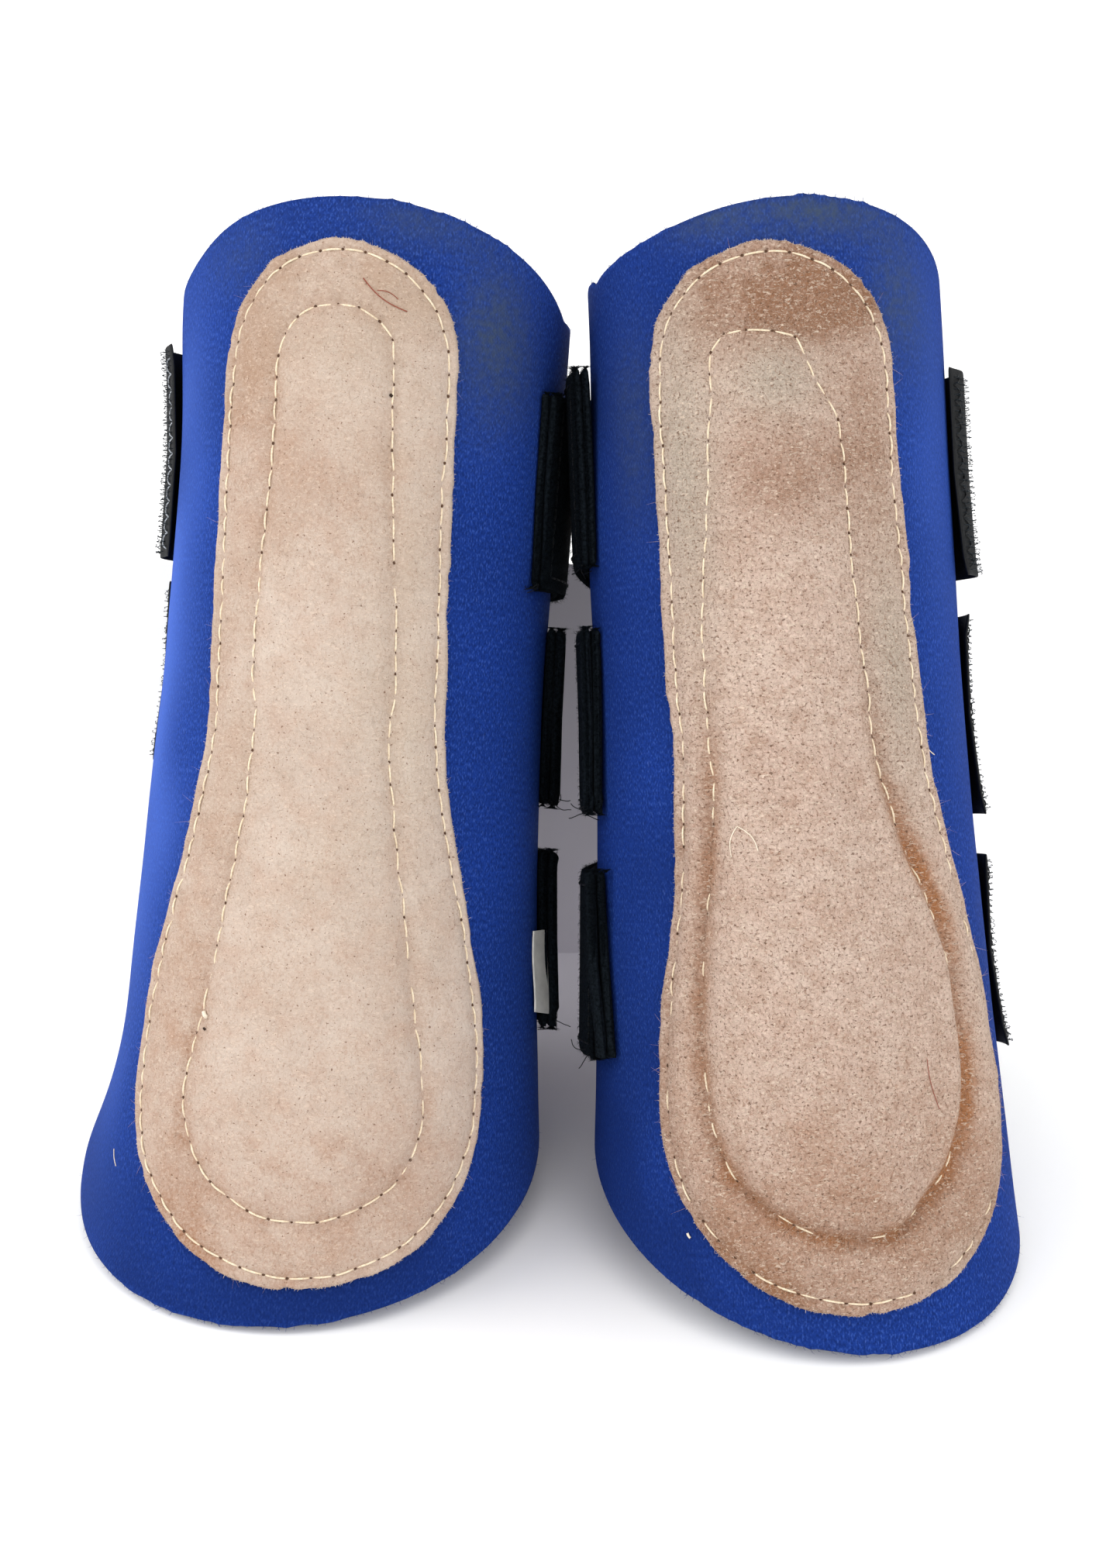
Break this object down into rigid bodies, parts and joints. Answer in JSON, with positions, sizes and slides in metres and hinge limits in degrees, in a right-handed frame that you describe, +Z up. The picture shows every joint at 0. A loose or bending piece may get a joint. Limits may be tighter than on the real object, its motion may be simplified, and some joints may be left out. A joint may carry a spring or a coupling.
{
  "type": "pair of leg guards",
  "caption": "Pair of wrap-around leg guards: foam-rubber tubes with a padded suede strike pad in front and hook-and-loop straps behind, standing leaned back.",
  "frame": {"origin": "middle of the pair's footprint, on the floor that it stands on", "axes": "+Z up, -Y to the front, where the suede pads face; +X from the left guard to the right guard"},
  "size_m": [0.22, 0.1904, 0.229],
  "materials": {
    "neoprene": "royal-blue knitted nylon jersey on foam rubber, matt",
    "lining": "blue knitted nylon jersey, matt",
    "suede": "napped split suede, beige, mottled",
    "foam": "closed-cell foam, hidden",
    "thread": "cream bonded thread",
    "loop_tape": "black brushed loop tape",
    "hook_tape": "black nylon hook tape",
    "label": "white woven tape, blank"
  },
  "bodies": {
    "left_guard": {"left_shell": "neoprene", "left_lining": "lining", "left_suede_pad": "suede", "left_pad_foam": "foam", "left_outer_stitch_row": "thread", "left_inner_stitch_row": "thread", "left_strap_base_upper": "loop_tape", "left_hook_patch_upper": "hook_tape", "left_strap_base_middle": "loop_tape", "left_hook_patch_middle": "hook_tape", "left_strap_base_lower": "loop_tape", "left_hook_patch_lower": "hook_tape", "left_care_label": "label"},
    "left_strap_upper_swing": {"left_strap_upper": "loop_tape"},
    "left_strap_middle_swing": {"left_strap_middle": "loop_tape"},
    "left_strap_lower_swing": {"left_strap_lower": "loop_tape"},
    "right_guard": {"right_shell": "neoprene", "right_lining": "lining", "right_suede_pad": "suede", "right_pad_foam": "foam", "right_outer_stitch_row": "thread", "right_inner_stitch_row": "thread", "right_strap_base_upper": "loop_tape", "right_hook_patch_upper": "hook_tape", "right_strap_base_middle": "loop_tape", "right_hook_patch_middle": "hook_tape", "right_strap_base_lower": "loop_tape", "right_hook_patch_lower": "hook_tape"},
    "right_strap_upper_swing": {"right_strap_upper": "loop_tape"},
    "right_strap_middle_swing": {"right_strap_middle": "loop_tape"},
    "right_strap_lower_swing": {"right_strap_lower": "loop_tape"}
  },
  "joints": [
    {"name": "left_upper_strap_open", "type": "hinge", "parent": "left_guard", "child": "left_strap_upper_swing", "pos_m": [-0.0109, 0.07136, 0.13897], "axis": [-0.0802, -0.3895, -0.9175], "range_deg": [0, 100]},
    {"name": "left_middle_strap_open", "type": "hinge", "parent": "left_guard", "child": "left_strap_middle_swing", "pos_m": [-0.01464, 0.05169, 0.09152], "axis": [-0.0617, -0.3708, -0.9267], "range_deg": [0, 100]},
    {"name": "left_lower_strap_open", "type": "hinge", "parent": "left_guard", "child": "left_strap_lower_swing", "pos_m": [-0.01699, 0.03295, 0.04191], "axis": [-0.0288, -0.3372, -0.941], "range_deg": [0, 100]},
    {"name": "right_upper_strap_open", "type": "hinge", "parent": "right_guard", "child": "right_strap_upper_swing", "pos_m": [0.02982, 0.05742, 0.14292], "axis": [-0.0448, 0.3843, 0.9221], "range_deg": [0, 100]},
    {"name": "right_middle_strap_open", "type": "hinge", "parent": "right_guard", "child": "right_strap_middle_swing", "pos_m": [0.03195, 0.0379, 0.09531], "axis": [-0.0364, 0.3715, 0.9277], "range_deg": [0, 100]},
    {"name": "right_lower_strap_open", "type": "hinge", "parent": "right_guard", "child": "right_strap_lower_swing", "pos_m": [0.03346, 0.01883, 0.04584], "axis": [-0.0214, 0.3487, 0.937], "range_deg": [0, 100]},
    {"name": "right_guard_apart", "type": "slide", "parent": "left_guard", "child": "right_guard", "axis": [1, 0, 0], "range_m": [0, 0.2]}
  ]
}
